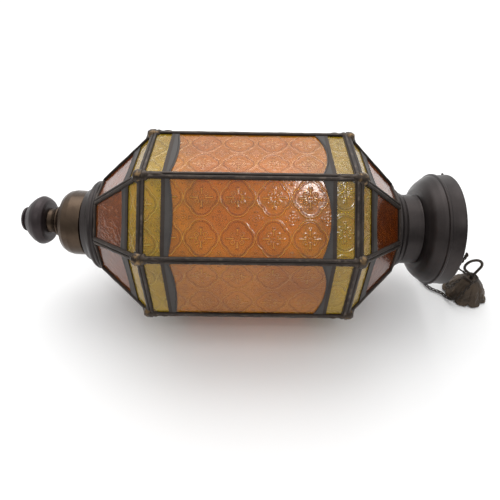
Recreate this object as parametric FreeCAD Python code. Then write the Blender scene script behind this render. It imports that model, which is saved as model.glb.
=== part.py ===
import FreeCAD, Part
import math
import os
from FreeCAD import Vector

# Eight-sided glass candle lantern with a long body between two tapers, a pull-off brass cup with a
# turned finial at its foot, and a spun crown with three chains and a leaf cap at its head.
# Millimetres. Every piece is drawn with the lantern's axis on Z, the foot down and z = 0 at the
# middle of the body, and is then laid down on one flat side with the crown towards +X.

# ---- driving dimensions: glazed shell ----
SIDES = 8
BODY_R = 115.0          # corner radius of the body
BODY_LENGTH = 224.0
LOWER_TAPER = 66.0      # height of the taper at the foot
LOWER_RING_R = 57.0     # corner radius where it ends
UPPER_TAPER = 60.0
UPPER_RING_R = 56.0

FRAME_T = 5.0           # came, through its thickness
LIP_T = 1.2             # came lip over the glass
GLASS_T = 2.6
BAR = 4.5               # came along the long edges of a pane
CROSSBAR = 4.0          # came between two panes of one side
EDGE_GROOVE = 1.0       # bevel along the outer edges, a groove between neighbours
PANE_LAP = 1.2          # glass held under the lip
PANE_CLEARANCE = 0.3    # between the edge of the glass and the bottom of its channel

LOWER_END_BAR = 3.8
LOWER_YELLOW = 17.2     # clear height of the yellow pane near the foot
UPPER_END_BAR = 5.8
UPPER_YELLOW = 18.2
TAPER_END_BAR = 6.0     # at the wide end of a taper
TAPER_YELLOW = 15.0
TAPER_RING_BAR = 4.5    # at the narrow end

TRIM_T = 1.0            # sheet trim laid on the glass inside the came
HILL_SIDE = 4.3         # lower trim of an amber pane, from the crossbar, at its sides
HILL_MIDDLE = 8.1       # and in the middle
ARCH_SIDE = 10.2        # upper trim of an amber pane
ARCH_MIDDLE = 1.6
TAPER_TRIM_SIDE = 7.5   # trim of a red pane
TAPER_TRIM_MIDDLE = 6.0

CLAW_R = 7.5            # cast boss over each corner of the body
CLAW_INSET = 4.5        # its centre, in from the corner
CLAW_TAIL = 26.0        # tail along the body's edge
CLAW_NOSE = 15.0        # nose along the taper's edge
CLAW_ARM_R = 5.6
CLAW_TIP_R = 1.6
CLAW_PROUD = 2.0        # how far the arms stand out of the edge at the ball

# ---- driving dimensions: foot ----
COLLAR_BORE_R = 38.5
COLLAR_SPIGOT = 5.0     # depth that a collar enters the glazed shell
SPIGOT_CLEARANCE = 0.7  # between it and the came
COLLAR_R = 55.4
COLLAR_LENGTH = 19.5
COLLAR_MOUTH_R = 42.6

CUP_GAP = 2.5           # from the collar to the middle of the cup's mouth
CUP_R = 40.3
CUP_WALL = 1.3
CUP_HEIGHT = 39.0
CUP_FOOT_R = 19.2
CUP_FLOOR_T = 4.0
CUP_SHOULDER = 12.4     # height of the step between the cup's cone and its wall
CUP_TILT = 3.0          # the loose cup sits crooked, degrees
CUP_OFFSET = 2.0        # and off the axis, up and back
SLEEVE_R = 34.6         # spring sleeve that enters the collar
SLEEVE_ENTRY = 9.5
SLEEVE_WALL = 1.2

NECK_LENGTH = 10.4
NECK_R = 15.4
KNOB_R = 30.4
KNOB_LENGTH = 27.0
BUTTON_R = 15.2
BUTTON_T = 5.4
KNOB_GAP = 0.1          # between the knob that turns and the neck
STUD_R = 3.0
RUNNING = 0.05          # radial clearance of a turning fit
NUT_HALF = 5.0          # half across the flats
NUT_T = 4.0
STUD_PROUD = 1.5        # stud past its nut

# ---- driving dimensions: candle ----
CANDLE_R = 11.2
CANDLE_LENGTH = 106.0
CANDLE_CLEARANCE = 0.1
SOCKET_WALL = 1.2
SOCKET_HEIGHT = 29.0
SOCKET_FOOT_R = 15.0
SOCKET_FOOT_T = 1.5
PAN_R = 32.0
PAN_T = 1.0
PAN_DEPTH = 4.0
WICK_R = 1.0
WICK_LENGTH = 12.0

# ---- driving dimensions: head ----
NECK_COLLAR_R = 51.5
NECK_COLLAR_LENGTH = 12.8
TUBE_R = 43.0
TUBE_WALL = 1.2
TUBE_ENTRY = 4.0        # depth of the tube inside the shell
TUBE_FREE = 31.3        # tube above the shell
SOLDER_GAP = 0.05
CROWN_WALL = 1.4
CROWN_ENTRY = 15.0      # crown inside the tube
CROWN_BEAD_R = 69.2
CROWN_RIM_R = 68.0
CROWN_DEPTH = 37.2      # from the tube's end to the rim

# ---- driving dimensions: chains, ring, leaf cap and eye ----
CHAIN_D = 5.0
EYELET_R = 67.3          # of the chains' roots, about the lantern's axis
EYELET_AHEAD = 3.1      # of a chain's first end, past the rim
KNUCKLE_R = 2.8         # ball where a chain's end fitting turns
RING_R = 8.0
RING_WIRE_R = 1.3
CAP_R = 30.0
CAP_HEIGHT = 29.6
CAP_WALL = 2.0
CAP_TOP_R = 9.5
CAP_LOBES = 9
CAP_AHEAD = 65.0        # of the leaf cap's middle, past the rim
CAP_Y = -8.0
EYE_WIRE_R = 1.8
EYE_R = 11.0            # bend of the eye
EYE_HEIGHT = 20.0       # from the foot of the eye to the centre of its bend
EYE_FOOT = 4.0          # from the cap's top to where the eye opens
EYE_LEAN = 16.0         # degrees, back towards the crown
WASHER_R = 4.5
WASHER_T = 1.5

# Routes of the three chains. Each starts at an eyelet, given as degrees around the crown's rim from
# its lowest point, falls by a step, passes through points (x past the rim, y, z above the ground),
# and ends at a point beside the leaf cap's middle, given the same way from that middle.
CHAIN_ROUTES = {
    "chain_front": (-105.0, (2.4, 5.0, -13.0),
                    [(8.5, -50.0, 94.0), (11.5, -42.0, 70.0), (17.5, -34.0, 44.0),
                     (29.0, -27.0, 29.0), (42.0, -15.0, 28.5)], (-13.0, -1.5, 32.3)),
    "chain_low": (14.7, (5.4, 1.7, -11.0),
                  [(13.5, 25.5, 19.0), (11.5, 19.0, 3.6), (11.5, 4.0, 2.6), (20.5, -6.5, 2.6),
                   (33.0, -11.0, 2.6), (36.5, -25.0, 3.2), (45.0, -32.5, 14.0),
                   (52.5, -24.5, 24.5)], (-4.0, -12.0, 32.8)),
    "chain_back": (134.7, (7.4, -0.4, -10.5),
                   [(16.5, 42.0, 118.0), (20.5, 38.0, 84.0), (28.0, 30.0, 52.0),
                    (41.0, 16.0, 34.0)], (-9.0, 9.0, 32.9)),
}

# ---- sizes that follow ----
HALF_TURN = math.pi / SIDES
BODY_END = BODY_LENGTH / 2
LOWER_END = -BODY_END - LOWER_TAPER
UPPER_END = BODY_END + UPPER_TAPER
LOWER_SLOPE = math.atan((BODY_R - LOWER_RING_R) * math.cos(HALF_TURN) / LOWER_TAPER)
COLLAR_SPIGOT_R = (LOWER_RING_R * math.cos(HALF_TURN) - FRAME_T / math.cos(LOWER_SLOPE)
                   - SPIGOT_CLEARANCE)
COLLAR_MOUTH = LOWER_END - COLLAR_LENGTH
CUP_MOUTH = COLLAR_MOUTH - CUP_GAP
CUP_FOOT = CUP_MOUTH - CUP_HEIGHT
KNOB_BACK = CUP_FOOT - NECK_LENGTH - KNOB_GAP
KNOB_FRONT = KNOB_BACK - KNOB_LENGTH
SOCKET_FLOOR = CUP_FOOT + CUP_FLOOR_T
NUT_TOP = SOCKET_FLOOR + SOCKET_FOOT_T + NUT_T
CANDLE_FOOT = NUT_TOP + STUD_PROUD + CANDLE_CLEARANCE
TUBE_END = UPPER_END + TUBE_FREE
CROWN_RIM = TUBE_END + CROWN_DEPTH
CAP_X = CROWN_RIM + CAP_AHEAD
AXIS_HEIGHT = (BODY_R - CLAW_INSET) * math.cos(HALF_TURN) + CLAW_R
MIDDLE_X = -(KNOB_FRONT - BUTTON_T + CROWN_RIM) / 2


# ---- drawing helpers ----
def edges_of(points, place):
    """Edges of a closed outline. Each entry is a point, or a pair (point on the arc, its end)."""
    edges = []
    here = points[0]
    for step in list(points[1:]) + [points[0]]:
        if isinstance(step[0], tuple):
            middle, end = step
            edges.append(Part.Arc(place(here), place(middle), place(end)).toShape())
        else:
            end = step
            edges.append(Part.LineSegment(place(here), place(end)).toShape())
        here = end
    return edges


def turned(*points):
    """Solid of revolution about Z from an outline of (radius, z)."""
    wire = Part.Wire(edges_of(points, lambda p: Vector(p[0], 0, p[1])))
    return Part.Face(wire).revolve(Vector(0, 0, 0), Vector(0, 0, 1), 360)


def cap_arc(radius, base, rise):
    """Arc of an outline from (radius, base) to the axis, as a ball's cap with this rise."""
    ball = (radius ** 2 + rise ** 2) / (2 * abs(rise))
    half = math.asin(radius / ball) / 2
    height = ball * math.cos(half) - (ball - abs(rise))
    return ((ball * math.sin(half), base + math.copysign(height, rise)), (0.0, base + rise))


def polyhedron(low, high):
    """Solid between two flat rings of matching corners."""
    count = len(low)
    rings = [low, high]
    for i in range(count):
        j = (i + 1) % count
        rings.append([low[i], low[j], high[j], high[i]])
    faces = [Part.Face(Part.makePolygon(ring + [ring[0]])) for ring in rings]
    return Part.Solid(Part.Shell(faces))


def about_axis(shape, degrees):
    copy = shape.copy()
    copy.rotate(Vector(0, 0, 0), Vector(0, 0, 1), degrees)
    return copy


def around(shape, count=SIDES):
    return [about_axis(shape, 360.0 * i / count) for i in range(count)]


class Side:
    """One flat side of the shell. u runs along its width, v up its slope from end 0 to end 1."""

    def __init__(self, index, z0, r0, z1, r1):
        angle = 2 * HALF_TURN * index
        self.radial = Vector(math.cos(angle), math.sin(angle), 0)
        self.across = Vector(-math.sin(angle), math.cos(angle), 0)
        self.ends = [(z0, r0 * math.cos(HALF_TURN)), (z1, r1 * math.cos(HALF_TURN))]
        self.start = self.radial * self.ends[0][1] + Vector(0, 0, z0)
        run = self.radial * self.ends[1][1] + Vector(0, 0, z1) - self.start
        self.length = run.Length
        self.up = run.normalize()
        self.normal = self.up.cross(self.across)
        if self.normal.dot(self.radial) < 0:
            self.normal = self.normal * -1
        self.halves = [r0 * math.sin(HALF_TURN), r1 * math.sin(HALF_TURN)]
        self.lean = math.atan2(self.halves[0] - self.halves[1], self.length)

    def half(self, v):
        return self.halves[0] + (self.halves[1] - self.halves[0]) * v / self.length

    def pane(self, v0, v1, inset):
        """Corners of a pane between two heights, inset from the side's slanting edges."""
        cut = inset / math.cos(self.lean)
        low, high = self.half(v0) - cut, self.half(v1) - cut
        return [(-low, v0), (low, v0), (high, v1), (-high, v1)]

    def slab(self, outline, depth, thickness):
        """Plate with this outline, from a depth under the outer face and down by its thickness."""
        def place(p):
            return self.start + self.across * p[0] + self.up * p[1] - self.normal * depth

        face = Part.Face(Part.Wire(edges_of(outline, place)))
        return face.extrude(self.normal * -thickness)

    def section(self, end):
        """Section of the side's came blank in the level plane of one end."""
        z, a = self.ends[end]
        slope = math.tan(HALF_TURN)
        inner = a - FRAME_T / abs(self.normal.dot(self.radial))
        corners = [(inner, -inner * slope), (a - EDGE_GROOVE, -(a - EDGE_GROOVE) * slope),
                   (a, -a * slope + EDGE_GROOVE), (a, a * slope - EDGE_GROOVE),
                   (a - EDGE_GROOVE, (a - EDGE_GROOVE) * slope), (inner, inner * slope)]
        return [self.radial * x + self.across * y + Vector(0, 0, z) for x, y in corners]

    def came(self, windows):
        """Came around the windows, each (v0, v1), with a channel for its glass."""
        blank = polyhedron(self.section(0), self.section(1))
        reach = PANE_LAP + PANE_CLEARANCE
        cuts = []
        for v0, v1 in windows:
            cuts.append(self.slab(self.pane(v0, v1, BAR), -1.0, FRAME_T + 3.0))
            channel = self.pane(v0 - reach, v1 + reach, BAR - reach)
            cuts.append(self.slab(channel, LIP_T, GLASS_T))
        return blank.cut(cuts)

    def glass(self, window):
        v0, v1 = window
        outline = self.pane(v0 - PANE_LAP, v1 + PANE_LAP, BAR - PANE_LAP)
        return self.slab(outline, LIP_T, GLASS_T)

    def trim(self, v, side_height, middle_height):
        """Sheet trim on the glass from the crossbar at v, with one bowed edge."""
        ends = self.pane(v, v + side_height, BAR)
        outline = [ends[0], ends[1], ends[2], ((0, v + middle_height), ends[3])]
        return self.slab(outline, LIP_T - TRIM_T, TRIM_T)


# ---- glazed shell ----
LOWER_YELLOW_WINDOW = (LOWER_END_BAR, LOWER_END_BAR + LOWER_YELLOW)
UPPER_YELLOW_WINDOW = (BODY_LENGTH - UPPER_END_BAR - UPPER_YELLOW, BODY_LENGTH - UPPER_END_BAR)
AMBER_WINDOW = (LOWER_YELLOW_WINDOW[1] + CROSSBAR, UPPER_YELLOW_WINDOW[0] - CROSSBAR)
TAPER_YELLOW_WINDOW = (TAPER_END_BAR, TAPER_END_BAR + TAPER_YELLOW)


def body_side(index=0):
    return Side(index, -BODY_END, BODY_R, BODY_END, BODY_R)


def lower_side(index=0):
    return Side(index, -BODY_END, BODY_R, LOWER_END, LOWER_RING_R)


def upper_side(index=0):
    return Side(index, BODY_END, BODY_R, UPPER_END, UPPER_RING_R)


def red_window(side):
    return (TAPER_YELLOW_WINDOW[1] + CROSSBAR, side.length - TAPER_RING_BAR)


def body_pieces():
    """Came, panes and trim of the eight body sides; the cames and amber panes are single nodes."""
    side = body_side()
    came = side.came([LOWER_YELLOW_WINDOW, AMBER_WINDOW, UPPER_YELLOW_WINDOW])
    pane = side.glass(AMBER_WINDOW)
    pieces = {}
    for i in range(SIDES):
        pieces["body_frame_%d" % (i + 1)] = [about_axis(came, 360.0 * i / SIDES)]
        pieces["amber_pane_%d" % (i + 1)] = [about_axis(pane, 360.0 * i / SIDES)]
    pieces["lower_yellow_panes"] = around(side.glass(LOWER_YELLOW_WINDOW))
    pieces["upper_yellow_panes"] = around(side.glass(UPPER_YELLOW_WINDOW))
    pieces["hill_trims"] = around(side.trim(AMBER_WINDOW[0], HILL_SIDE, HILL_MIDDLE))
    pieces["arch_trims"] = around(side.trim(AMBER_WINDOW[1], -ARCH_SIDE, -ARCH_MIDDLE))
    return pieces


def taper_pieces(name, side):
    red = red_window(side)
    return {
        name + "_taper_frames": around(side.came([TAPER_YELLOW_WINDOW, red])),
        name + "_taper_yellow_panes": around(side.glass(TAPER_YELLOW_WINDOW)),
        name + "_taper_red_panes": around(side.glass(red)),
        name + "_taper_trims": around(side.trim(red[0], TAPER_TRIM_SIDE, TAPER_TRIM_MIDDLE)),
    }


def shell_envelope():
    """The shell's outer shape, closed and solid."""
    rings = [(LOWER_END, LOWER_RING_R), (-BODY_END, BODY_R), (BODY_END, BODY_R),
             (UPPER_END, UPPER_RING_R)]
    corners = []
    for z, r in rings:
        turns = [HALF_TURN + 2 * HALF_TURN * i for i in range(SIDES)]
        corners.append([Vector(r * math.cos(t), r * math.sin(t), z) for t in turns])
    stages = [polyhedron(corners[i], corners[i + 1]) for i in range(len(rings) - 1)]
    return stages[0].fuse(stages[1:])


def horn(corner, out, along, length):
    """Tapering arm of a claw from a corner of the body along one of its edges."""
    start = corner - out * (CLAW_ARM_R - CLAW_PROUD)
    tip = corner + along * length - out * (CLAW_TIP_R - CLAW_PROUD / 3)
    return Part.makeCone(CLAW_ARM_R, CLAW_TIP_R, (tip - start).Length, start, tip - start)


def claw(end_z, ring_z, ring_r):
    """Cast boss over one corner: a ball with a tail down the body's edge and a short nose."""
    turn = HALF_TURN
    inward = 1 if end_z < 0 else -1
    out = Vector(math.cos(turn), math.sin(turn), 0)
    corner = out * BODY_R + Vector(0, 0, end_z)
    centre = out * (BODY_R - CLAW_INSET) + Vector(0, 0, end_z + inward * CLAW_INSET / 2)
    ball = Part.makeSphere(CLAW_R, centre)
    slope = (out * ring_r + Vector(0, 0, ring_z) - corner).normalize()
    boss = ball.fuse([horn(corner, out, Vector(0, 0, inward), CLAW_TAIL),
                      horn(corner, out, slope, CLAW_NOSE)])
    boss = boss.cut(shell_envelope())
    return max(boss.Solids, key=lambda s: s.Volume)


def shell_pieces():
    pieces = body_pieces()
    pieces.update(taper_pieces("lower", lower_side()))
    pieces.update(taper_pieces("upper", upper_side()))
    pieces["lower_claws"] = around(claw(-BODY_END, LOWER_END, LOWER_RING_R))
    pieces["upper_claws"] = around(claw(BODY_END, UPPER_END, UPPER_RING_R))
    return pieces


# ---- foot ----
def bottom_collar():
    """Spun ring below the shell: two beads, then a hollow sweep in to its mouth."""
    z = LOWER_END
    return turned(
        (COLLAR_BORE_R, z + COLLAR_SPIGOT), (COLLAR_SPIGOT_R, z + COLLAR_SPIGOT),
        (COLLAR_SPIGOT_R, z), (COLLAR_R - 1.0, z),
        ((COLLAR_R, z - 2.0), (COLLAR_R - 1.0, z - 4.0)), (COLLAR_R - 1.8, z - 4.6),
        ((COLLAR_R - 0.7, z - 6.6), (COLLAR_R - 2.0, z - 8.6)),
        ((COLLAR_MOUTH_R + 4.2, COLLAR_MOUTH + 6.5), (COLLAR_MOUTH_R, COLLAR_MOUTH)),
        (COLLAR_BORE_R, COLLAR_MOUTH))


def bottom_cup():
    """Brass cup: small foot, cone, a step at the shoulder and a full wall."""
    z = CUP_FOOT
    inner = CUP_R - CUP_WALL
    step = z + CUP_SHOULDER
    return turned(
        (STUD_R + RUNNING, z), (CUP_FOOT_R - 1.5, z), (CUP_FOOT_R, z + 1.0),
        (CUP_FOOT_R, z + 3.0), (CUP_R - 7.0, step), (CUP_R - 4.7, step + 0.2),
        ((CUP_R - 1.7, z + 19.0), (CUP_R, z + 27.0)), (CUP_R - 0.4, CUP_MOUTH),
        (inner - 0.4, CUP_MOUTH), (inner, z + 27.0),
        ((CUP_R - 3.2, z + 19.8), (CUP_R - 6.1, step + 1.7)), (CUP_R - 8.3, step + 1.3),
        (CUP_FOOT_R - 1.7, SOCKET_FLOOR), (STUD_R + RUNNING, SOCKET_FLOOR))


def cup_sleeve():
    """Spring sleeve soldered inside the cup's mouth, narrower where it enters the collar."""
    held = CUP_R - CUP_WALL - 0.4 - SOLDER_GAP
    top = CUP_MOUTH + SLEEVE_ENTRY
    sleeve = turned(
        (held, CUP_MOUTH - 11.0), (held, CUP_MOUTH - 3.0), (SLEEVE_R, CUP_MOUTH - 1.0),
        (SLEEVE_R, top), (SLEEVE_R - SLEEVE_WALL, top), (SLEEVE_R - SLEEVE_WALL, CUP_MOUTH - 1.6),
        (held - SLEEVE_WALL, CUP_MOUTH - 3.6), (held - SLEEVE_WALL, CUP_MOUTH - 11.0))
    slit = Part.makeBox(2 * CUP_R, 1.0, SLEEVE_ENTRY, Vector(-CUP_R, -0.5, CUP_MOUTH + 0.5))
    return sleeve.cut([slit, about_axis(slit, 90)])


def finial_neck():
    """Brass spacer between knob and cup, slightly waisted."""
    low = CUP_FOOT - NECK_LENGTH
    return turned(
        (STUD_R + RUNNING, low), (NECK_R, low),
        ((NECK_R - 1.0, CUP_FOOT - NECK_LENGTH / 2), (NECK_R, CUP_FOOT)),
        (STUD_R + RUNNING, CUP_FOOT))


def finial_knob():
    """Turned knob, widest near its back, narrowing to the groove before the button."""
    front = KNOB_FRONT
    back = KNOB_BACK
    flare = KNOB_R - BUTTON_R
    return turned(
        (STUD_R + SOLDER_GAP, front), (BUTTON_R - 1.2, front),
        ((BUTTON_R + 0.45 * flare, front + 0.22 * KNOB_LENGTH),
         (BUTTON_R + 0.80 * flare, front + 0.445 * KNOB_LENGTH)),
        ((KNOB_R, front + 0.665 * KNOB_LENGTH), (KNOB_R - 2.0, front + 0.85 * KNOB_LENGTH)),
        ((KNOB_R - 4.2, back - 0.8), (KNOB_R - 7.2, back)), (STUD_R + SOLDER_GAP, back))


def finial_button():
    """Small end disc with a rounded face."""
    z = KNOB_FRONT
    return turned(
        (0.0, z), (BUTTON_R - 2.0, z), (BUTTON_R, z - 1.5), (BUTTON_R - 0.6, z - 3.6),
        cap_arc(BUTTON_R - 0.6, z - 3.6, 3.6 - BUTTON_T))


def finial_stud():
    start = KNOB_FRONT + SOLDER_GAP
    length = NUT_TOP + STUD_PROUD - start
    return Part.makeCylinder(STUD_R, length, Vector(0, 0, start))


def stud_nut():
    radius = NUT_HALF / math.cos(math.pi / 6)
    turns = [math.pi / 3 * i for i in range(6)]
    corners = [Vector(radius * math.cos(t), radius * math.sin(t), NUT_TOP - NUT_T) for t in turns]
    blank = Part.Face(Part.makePolygon(corners + [corners[0]])).extrude(Vector(0, 0, NUT_T))
    bore = Part.makeCylinder(STUD_R + RUNNING, NUT_T, Vector(0, 0, NUT_TOP - NUT_T))
    return blank.cut(bore)


def candle_socket():
    """Cup for the candle on a flat foot, held down by the stud's nut."""
    inner = CANDLE_R + CANDLE_CLEARANCE
    outer = inner + SOCKET_WALL
    floor = SOCKET_FLOOR + SOCKET_FOOT_T
    top = SOCKET_FLOOR + SOCKET_HEIGHT
    return turned(
        (STUD_R + RUNNING, SOCKET_FLOOR), (SOCKET_FOOT_R, SOCKET_FLOOR), (SOCKET_FOOT_R, floor),
        (outer, floor), (outer, top), (inner, top), (inner, floor), (STUD_R + RUNNING, floor))


def drip_pan():
    """Dished pan that rests around the socket's wall."""
    bore = CANDLE_R + CANDLE_CLEARANCE + SOCKET_WALL + SOLDER_GAP
    z = SOCKET_FLOOR + SOCKET_HEIGHT - PAN_DEPTH - PAN_T
    return turned(
        (bore, z), (PAN_R - 6.0, z), (PAN_R, z + PAN_DEPTH), (PAN_R - PAN_T, z + PAN_DEPTH),
        (PAN_R - 6.0 - PAN_T / 2, z + PAN_T), (bore, z + PAN_T))


def candle():
    top = CANDLE_FOOT + CANDLE_LENGTH
    return turned(
        (0.0, CANDLE_FOOT), (CANDLE_R, CANDLE_FOOT), (CANDLE_R, top - 3.0),
        ((CANDLE_R - 1.0, top - 0.8), (CANDLE_R - 4.0, top)), (0.0, top))


def wick():
    return Part.makeCylinder(WICK_R, WICK_LENGTH, Vector(0, 0, CANDLE_FOOT + CANDLE_LENGTH))


def cup_pieces():
    return {
        "bottom_cup": [bottom_cup()],
        "cup_sleeve": [cup_sleeve()],
        "finial_neck": [finial_neck()],
        "finial_knob": [finial_knob()],
        "finial_button": [finial_button()],
        "finial_stud": [finial_stud()],
        "stud_nut": [stud_nut()],
        "candle_socket": [candle_socket()],
        "drip_pan": [drip_pan()],
        "candle": [candle()],
        "wick": [wick()],
    }


def sit_crooked(shape):
    """Tips the cup and all that it carries about the middle of its mouth, and shifts it."""
    hinge = Vector(1, 1, 0).normalize()
    copy = shape.copy()
    copy.rotate(Vector(0, 0, CUP_MOUTH), hinge, CUP_TILT)
    copy.translate(Vector(-1, 1, 0).normalize() * CUP_OFFSET)
    return copy


# ---- head ----
def neck_collar():
    """Stepped ring around the foot of the neck tube."""
    bore = TUBE_R + SOLDER_GAP
    z = UPPER_END
    return turned(
        (bore, z), (NECK_COLLAR_R, z), (NECK_COLLAR_R, z + 2.5), (NECK_COLLAR_R - 2.0, z + 4.8),
        (NECK_COLLAR_R - 5.0, z + 6.2), (NECK_COLLAR_R - 5.6, z + 9.6),
        (TUBE_R + 1.2, z + NECK_COLLAR_LENGTH), (bore, z + NECK_COLLAR_LENGTH))


def neck_tube():
    return turned(
        (TUBE_R - TUBE_WALL, UPPER_END - TUBE_ENTRY), (TUBE_R, UPPER_END - TUBE_ENTRY),
        (TUBE_R, TUBE_END), (TUBE_R - TUBE_WALL, TUBE_END))


def crown():
    """Spun bowl: a plug inside the tube, a full shoulder, a bead and a straight band to the rim."""
    plug = TUBE_R - TUBE_WALL - SOLDER_GAP
    wall = CROWN_WALL
    z = TUBE_END
    band = CROWN_RIM_R
    bead = CROWN_BEAD_R
    flare = bead - plug
    return turned(
        (plug, z - CROWN_ENTRY), (plug, z + 0.3), (plug + 0.30 * flare, z + 1.4),
        ((plug + 0.665 * flare, z + 6.2), (bead - 2.6, z + 15.8)), (bead - 2.4, z + 17.0),
        ((bead, z + 19.0), (band - 0.6, z + 21.6)), (band, z + CROWN_DEPTH),
        (band - wall, z + CROWN_DEPTH), (band - 0.6 - wall, z + 21.6),
        (bead - 2.6 - wall, z + 16.4),
        ((plug + 0.63 * flare, z + 7.4), (plug + 0.285 * flare, z + 2.9)),
        (plug - wall, z + 1.7), (plug - wall, z - CROWN_ENTRY))


# ---- chains, ring, leaf cap and eye, drawn where they lie ----
def rounded_path(points):
    """Wire through straight runs joined by tangent arcs, and the radii of those arcs."""
    edges = []
    radii = []
    here = points[0]
    for before, corner, after in zip(points, points[1:], points[2:]):
        a = (before - corner).normalize()
        b = (after - corner).normalize()
        turn = math.pi - a.getAngle(b)
        reach = 0.45 * min((before - corner).Length, (after - corner).Length)
        radius = reach / math.tan(turn / 2)
        start = corner + a * reach
        end = corner + b * reach
        bisector = (a + b).normalize()
        centre = corner + bisector * math.hypot(radius, reach)
        middle = centre - bisector * radius
        edges.append(Part.LineSegment(here, start).toShape())
        edges.append(Part.Arc(start, middle, end).toShape())
        radii.append(round(radius, 1))
        here = end
    edges.append(Part.LineSegment(here, points[-1]).toShape())
    return Part.Wire(edges), radii


def route(name):
    degrees, fall, between, beside_cap = CHAIN_ROUTES[name]
    turn = math.radians(degrees)
    first = Vector(CROWN_RIM + EYELET_AHEAD, EYELET_R * math.sin(turn),
                   AXIS_HEIGHT - EYELET_R * math.cos(turn))
    middle = [Vector(CROWN_RIM + x, y, z) for x, y, z in between]
    last = Vector(CAP_X, CAP_Y, 0) + Vector(*beside_cap)
    return [first, first + Vector(*fall)] + middle + [last]


def chain(name):
    """One chain as a plain round tube of its width along its route."""
    points = route(name)
    path, radii = rounded_path(points)
    start = points[0]
    profile = Part.Wire(Part.makeCircle(CHAIN_D / 2, start, points[1] - start))
    tube = path.makePipeShell([profile], True, False)
    section = math.pi * CHAIN_D ** 2 / 4
    print(name, "length %.1f" % path.Length, "radii", radii,
          "volume / (section x length) %.4f" % (tube.Volume / (section * path.Length)))
    return tube


def rim_eyelet(name, crown_shape):
    """Stub on the rim's edge that turns into line with the first link."""
    first, second = route(name)[:2]
    heading = (second - first).normalize()
    reach = KNUCKLE_R + 0.2
    knuckle = first - heading * reach
    root = Vector(CROWN_RIM - 2.0, knuckle.y, knuckle.z)
    stem = Part.makeCylinder(CHAIN_D / 2 - 0.4, knuckle.x - root.x, root, Vector(1, 0, 0))
    ball = Part.makeSphere(KNUCKLE_R, knuckle)
    end = Part.makeCylinder(CHAIN_D / 2, reach, knuckle, heading)
    stub = ball.fuse([stem, end]).cut(crown_shape)
    return max(stub.Solids, key=lambda s: s.Volume)


def gather_ring():
    """Ring on top of the leaf cap with a short shackle for each chain."""
    height = CAP_HEIGHT + RING_WIRE_R + 0.4
    ring = Part.makeTorus(RING_R, RING_WIRE_R, Vector(CAP_X, CAP_Y, height))
    shackles = []
    for name in CHAIN_ROUTES:
        before, last = route(name)[-2:]
        heading = (last - before).normalize()
        away = Vector(last.x - CAP_X, last.y - CAP_Y, 0).normalize()
        seat = Vector(CAP_X, CAP_Y, height) + away * (RING_R + 0.6)
        reach = KNUCKLE_R + 0.2
        knuckle = last + heading * reach
        span = seat - knuckle
        shackles.append(Part.makeCylinder(CHAIN_D / 2, reach, last, heading))
        shackles.append(Part.makeSphere(KNUCKLE_R, knuckle))
        shackles.append(Part.makeCylinder(RING_WIRE_R, span.Length, knuckle, span))
    return ring.fuse(shackles).removeSplitter()


def leaf_cap():
    """Domed cap with a flared, scalloped rim and a bored flat top."""
    wall = CAP_WALL
    bore = EYE_WIRE_R + RUNNING

    def at(r, z):
        return (CAP_R * r, CAP_HEIGHT * z)

    dome = turned(
        (CAP_R, 0.0), (CAP_R, 1.2), (at(0.873, 0.135), at(0.8, 0.27)),
        (at(0.733, 0.49), at(0.59, 0.676)), (at(0.467, 0.861), (CAP_TOP_R, CAP_HEIGHT)),
        (bore, CAP_HEIGHT), (bore, CAP_HEIGHT - wall), (CAP_TOP_R - wall, CAP_HEIGHT - wall),
        (at(0.408, 0.805), at(0.53, 0.642)), (at(0.667, 0.459), at(0.733, 0.247)),
        (at(0.807, 0.101), (CAP_R - wall, 0.0)))
    notch = Part.makeCylinder(3.6, 12.0, Vector(CAP_R - 6.0, 0, -0.8), Vector(1, 0, 0.15))
    dome = dome.cut(around(notch, CAP_LOBES))
    dome.translate(Vector(CAP_X, CAP_Y, 0))
    return dome


def hanging_eye():
    """Pear-shaped wire eye on a stem that turns in the cap's top, with its end headed over."""
    top = Vector(0, 0, EYE_FOOT)
    centre = Vector(0, 0, EYE_FOOT + EYE_HEIGHT)
    spread = math.acos(EYE_R / EYE_HEIGHT)
    left = centre + Vector(-math.sin(spread), 0, -math.cos(spread)) * EYE_R
    right = centre + Vector(math.sin(spread), 0, -math.cos(spread)) * EYE_R
    bend = Part.Arc(left, centre + Vector(0, 0, EYE_R), right).toShape()
    path = Part.Wire([Part.LineSegment(top, left).toShape(), bend,
                      Part.LineSegment(right, top).toShape()])
    pieces = [Part.makeSphere(EYE_WIRE_R, top)]
    for edge in path.Edges:
        start = edge.valueAt(edge.FirstParameter)
        direction = edge.tangentAt(edge.FirstParameter)
        profile = Part.Wire(Part.makeCircle(EYE_WIRE_R, start, direction))
        pieces.append(Part.Wire([edge]).makePipeShell([profile], True, False))
    eye = pieces[0].fuse(pieces[1:])
    eye.rotate(top, Vector(0, 1, 0), -EYE_LEAN)
    stem = Part.makeCylinder(EYE_WIRE_R, EYE_FOOT + CAP_WALL + WASHER_T + 1.6,
                             Vector(0, 0, -CAP_WALL - WASHER_T - 1.6))
    head = Part.makeSphere(EYE_WIRE_R + 0.8, Vector(0, 0, -CAP_WALL - WASHER_T - 2.2))
    eye = eye.fuse([stem, head])
    eye.translate(Vector(CAP_X, CAP_Y, CAP_HEIGHT))
    return eye


def eye_washer():
    low = CAP_HEIGHT - CAP_WALL - WASHER_T
    bore = EYE_WIRE_R + RUNNING
    washer = turned((bore, low), (WASHER_R, low), (WASHER_R, low + WASHER_T),
                    (bore, low + WASHER_T))
    washer.translate(Vector(CAP_X, CAP_Y, 0))
    return washer


# ---- laying down and writing ----
def lie_down(shape):
    """Turns the lantern's axis from Z to X and lifts it so that the claws touch z = 0."""
    copy = shape.copy()
    copy.rotate(Vector(0, 0, 0), Vector(0, 1, 0), 90)
    copy.translate(Vector(0, 0, AXIS_HEIGHT))
    return copy


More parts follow.
